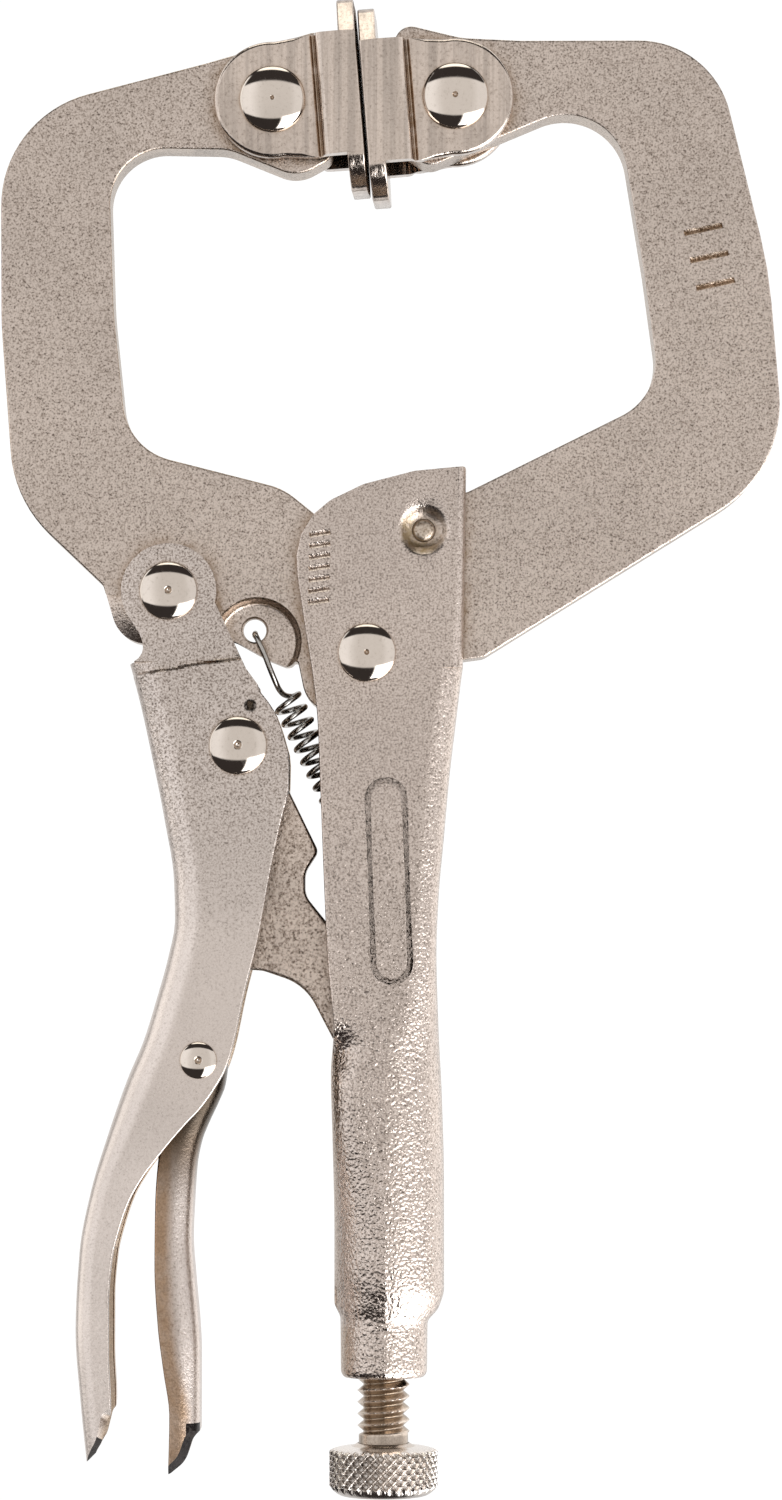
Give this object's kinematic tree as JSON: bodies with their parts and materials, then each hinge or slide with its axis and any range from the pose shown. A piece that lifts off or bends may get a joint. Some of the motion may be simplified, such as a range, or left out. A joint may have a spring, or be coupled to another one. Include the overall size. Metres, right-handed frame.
{
  "type": "locking c clamp",
  "caption": "Hand clamp with a C-shaped pair of plate jaws, swivel pads, an over-centre locking lever, release lever and thumb screw.",
  "frame": {"origin": "under the middle of the tool's bounding box, at the level of the thumb screw's end", "axes": "+Z from the grip towards the pads along the thumb screw, +X towards the fixed jaw, Y along every rivet"},
  "size_m": [0.0706, 0.0122, 0.1357],
  "materials": {
    "nickel_plate": "satin warm nickel plating with a fine grain, on thick plate",
    "nickel_sheet": "satin nickel plating on folded sheet",
    "nickel_bright": "semi-bright nickel plating",
    "polished_rivet": "polished rivet heads",
    "screw_steel": "plated screw with a knurled head",
    "spring_steel": "grey spring wire"
  },
  "bodies": {
    "handle": {"fixed_handle": "nickel_sheet", "fixed_jaw": "nickel_plate", "weld_plug_front": "nickel_sheet", "weld_plug_back": "nickel_sheet", "main_pivot_rivet": "polished_rivet", "right_pad_rivet": "polished_rivet", "return_spring": "spring_steel"},
    "movable_jaw": {"movable_jaw": "nickel_plate", "left_pad_rivet": "polished_rivet"},
    "lever": {"lever": "nickel_sheet", "lever_rivet": "polished_rivet", "link_rivet": "polished_rivet", "release_rivet": "polished_rivet"},
    "toggle_link": {"toggle_link": "nickel_plate"},
    "release_lever": {"release_lever": "nickel_sheet"},
    "left_pad": {"left_pad": "nickel_bright"},
    "right_pad": {"right_pad": "nickel_bright"},
    "screw": {"adjusting_screw": "screw_steel"},
    "knob": {"screw_knob": "screw_steel"}
  },
  "joints": [
    {"name": "jaw_hinge", "type": "hinge", "parent": "handle", "child": "movable_jaw", "pos_m": [-0.00208, 0, 0.0761], "axis": [0, -1, 0], "range_deg": [0, 14.2], "deforming": ["return_spring"]},
    {"name": "lever_hinge", "type": "hinge", "parent": "movable_jaw", "child": "lever", "pos_m": [-0.01998, 0, 0.0817], "axis": [0, 1, 0], "range_deg": [0, 46]},
    {"name": "link_hinge", "type": "hinge", "parent": "lever", "child": "toggle_link", "pos_m": [-0.01368, 0, 0.0677], "axis": [0, -1, 0], "range_deg": [0, 51.5]},
    {"name": "release_hinge", "type": "hinge", "parent": "lever", "child": "release_lever", "pos_m": [-0.01718, 0, 0.0394], "axis": [0, 1, 0], "range_deg": [0, 7]},
    {"name": "left_pad_hinge", "type": "hinge", "parent": "movable_jaw", "child": "left_pad", "pos_m": [-0.01063, 0, 0.1263], "axis": [0, 1, 0], "range_deg": [-5.5, 12]},
    {"name": "right_pad_hinge", "type": "hinge", "parent": "handle", "child": "right_pad", "pos_m": [0.00592, 0, 0.1266], "axis": [0, 1, 0], "range_deg": [-5.5, 12]},
    {"name": "screw_travel", "type": "slide", "parent": "handle", "child": "screw", "axis": [0, 0, -1], "range_m": [0, 0.005]},
    {"name": "knob_turn", "type": "hinge", "parent": "screw", "child": "knob", "pos_m": [-0.00058, 0, 0.0021], "axis": [0, 0, -1], "range_deg": [0, 1720]}
  ],
  "couplings": [
    {"joint": "jaw_hinge", "follows": "lever_hinge", "ratio": 0.30362},
    {"joint": "link_hinge", "follows": "lever_hinge", "ratio": 1.1043},
    {"joint": "right_pad_hinge", "follows": "left_pad_hinge", "ratio": 1},
    {"joint": "knob_turn", "follows": "screw_travel", "rad_per_m": 5938.7}
  ]
}
